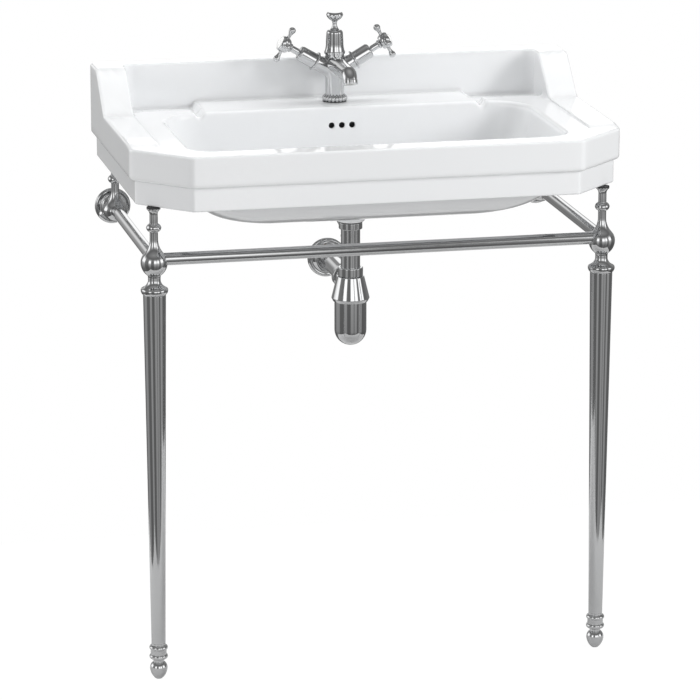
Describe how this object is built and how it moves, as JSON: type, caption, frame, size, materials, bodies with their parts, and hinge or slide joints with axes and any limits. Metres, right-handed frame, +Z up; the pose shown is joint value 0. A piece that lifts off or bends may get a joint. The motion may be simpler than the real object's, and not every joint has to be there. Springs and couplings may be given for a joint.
{
  "type": "console washbasin with washstand",
  "caption": "Ceramic console washbasin with upstand and soap trays on a chrome washstand, with a cross-handle mixer tap, pop-up waste and bottle trap.",
  "frame": {"origin": "on the floor, midway between the wall face and the basin's front and midway across its width", "axes": "+X to the right as seen from the front, +Y towards the wall, +Z up"},
  "size_m": [0.8, 0.47, 1.0188],
  "materials": {
    "chrome": "polished chrome plate on brass",
    "brass": "machined brass",
    "steel": "plain steel",
    "rubber": "black rubber",
    "nylon": "white nylon",
    "ceramic": null,
    "porcelain": null
  },
  "bodies": {
    "washbasin": {"left_leg_tube": "chrome", "right_leg_tube": "chrome", "left_leg_collar": "chrome", "right_leg_collar": "chrome", "left_foot": "chrome", "right_foot": "chrome", "left_front_casting": "chrome", "right_front_casting": "chrome", "left_rear_casting": "chrome", "right_rear_casting": "chrome", "left_wall_flange": "chrome", "right_wall_flange": "chrome", "front_rail": "chrome", "left_side_rail": "chrome", "right_side_rail": "chrome", "tap_body": "chrome", "tap_base_ring": "chrome", "spout": "chrome", "hot_bonnet": "chrome", "cold_bonnet": "chrome", "top_bonnet": "chrome", "waste_body": "chrome", "waste_back_nut": "chrome", "tail_pipe": "chrome", "pivot_nut": "chrome", "trap_inlet_nut": "chrome", "trap_body": "chrome", "trap_cup": "chrome", "outlet_nut": "chrome", "outlet_pipe": "chrome", "waste_rose": "chrome", "tap_shank": "brass", "shank_nut": "brass", "hot_valve": "brass", "cold_valve": "brass", "rail_grub_screws": "steel", "shank_washer": "steel", "post_pads": "rubber", "tap_gasket": "rubber", "waste_seals": "rubber", "trap_inlet_seal": "rubber", "cup_seal": "rubber", "rod_bush": "nylon", "aerator": "nylon", "basin": "ceramic"},
    "hot_handle": {"hot_handle": "chrome", "hot_spindle": "brass", "hot_index": "porcelain"},
    "cold_handle": {"cold_handle": "chrome", "cold_spindle": "brass", "cold_index": "porcelain"},
    "lift_rod": {"lift_knob": "chrome", "lift_rod": "chrome", "lift_strap": "chrome", "strap_clamp": "chrome", "strap_screw": "steel"},
    "pivot_rod": {"pivot_rod": "chrome"},
    "waste_plug": {"waste_plug": "chrome", "plug_seal": "rubber"}
  },
  "joints": [
    {"name": "hot_turn", "type": "hinge", "parent": "washbasin", "child": "hot_handle", "pos_m": [0, 0.172, 0.918], "axis": [-0.866, 0, 0.5], "range_deg": [0, 90]},
    {"name": "cold_turn", "type": "hinge", "parent": "washbasin", "child": "cold_handle", "pos_m": [0, 0.172, 0.918], "axis": [-0.866, 0, -0.5], "range_deg": [0, 90]},
    {"name": "lift_slide", "type": "slide", "parent": "washbasin", "child": "lift_rod", "axis": [0, 0, 1], "range_m": [0, 0.02442]},
    {"name": "pivot_tilt", "type": "hinge", "parent": "washbasin", "child": "pivot_rod", "pos_m": [0, 0.072, 0.658], "axis": [1, 0, 0], "range_deg": [0, 12.5]},
    {"name": "plug_slide", "type": "slide", "parent": "washbasin", "child": "waste_plug", "axis": [0, 0, 1], "range_m": [-0.0038, 0]}
  ],
  "couplings": [
    {"joint": "pivot_tilt", "follows": "lift_slide", "rad_per_m": 8.8629},
    {"joint": "plug_slide", "follows": "lift_slide", "ratio": -0.15422}
  ]
}
